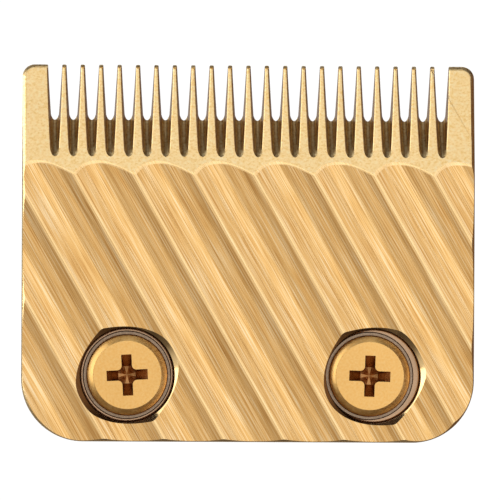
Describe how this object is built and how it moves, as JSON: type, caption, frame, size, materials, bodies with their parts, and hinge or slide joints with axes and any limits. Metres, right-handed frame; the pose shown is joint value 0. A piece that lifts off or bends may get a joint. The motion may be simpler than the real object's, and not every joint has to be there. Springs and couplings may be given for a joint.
{
  "type": "hair clipper blade set",
  "caption": "Gold-coated hair clipper blade head: fluted comb blade on a sliding carriage, moving cutter, tension spring and rear mounting frame.",
  "frame": {"origin": "on the mounting frame's flat rear face, on the plate's centre line and level with the two blade screws", "axes": "+Z to the tooth tips, +X to the right seen from the front, +Y out of the rear mounting face into the clipper"},
  "size_m": [0.046, 0.0144, 0.0384],
  "materials": {
    "titanium_nitride_blade": "carbon steel, ground and coated gold with titanium nitride, brushed along the flutes and satin on the tooth face",
    "titanium_nitride_screw": "coated gold, satin",
    "washer_steel": "warm nickel-plated steel, satin",
    "zinc_plated_bracket": "zinc plated, satin",
    "zinc_plated_screw": "zinc plated",
    "ground_steel": "ground bright",
    "cutter_steel": "hardened and lapped",
    "spring_steel": "drawn wire, oiled",
    "cast_alloy_frame": "die cast, shot blasted",
    "nylon_guide": "moulded nylon, fine grain"
  },
  "bodies": {
    "frame": {"mounting_frame": "cast_alloy_frame", "tension_spring": "spring_steel", "spring_pin": "ground_steel", "pin_clip_left": "spring_steel", "pin_clip_right": "spring_steel", "gib_strip_left": "ground_steel", "gib_strip_right": "ground_steel", "gib_screw_left_upper": "zinc_plated_screw", "gib_screw_left_lower": "zinc_plated_screw", "gib_screw_right_upper": "zinc_plated_screw", "gib_screw_right_lower": "zinc_plated_screw"},
    "comb_carriage": {"comb_blade": "titanium_nitride_blade", "blade_bracket": "zinc_plated_bracket", "taper_pin": "ground_steel", "blade_screw_left": "titanium_nitride_screw", "blade_screw_right": "titanium_nitride_screw", "screw_washer_left": "washer_steel", "screw_washer_right": "washer_steel", "slide_rail_left": "ground_steel", "slide_rail_right": "ground_steel", "rail_screw_left_upper": "zinc_plated_screw", "rail_screw_left_lower": "zinc_plated_screw", "rail_screw_right_upper": "zinc_plated_screw", "rail_screw_right_lower": "zinc_plated_screw"},
    "cutter_set": {"cutter_blade": "cutter_steel", "drive_guide": "nylon_guide", "guide_peg_left": "ground_steel", "guide_peg_right": "ground_steel"}
  },
  "joints": [
    {"name": "taper_slide", "type": "slide", "parent": "frame", "child": "comb_carriage", "axis": [0, 0, 1], "range_m": [-0.0051, 0]},
    {"name": "cutter_stroke", "type": "slide", "parent": "frame", "child": "cutter_set", "axis": [1, 0, 0], "range_m": [-0.0015, 0.0015]}
  ]
}
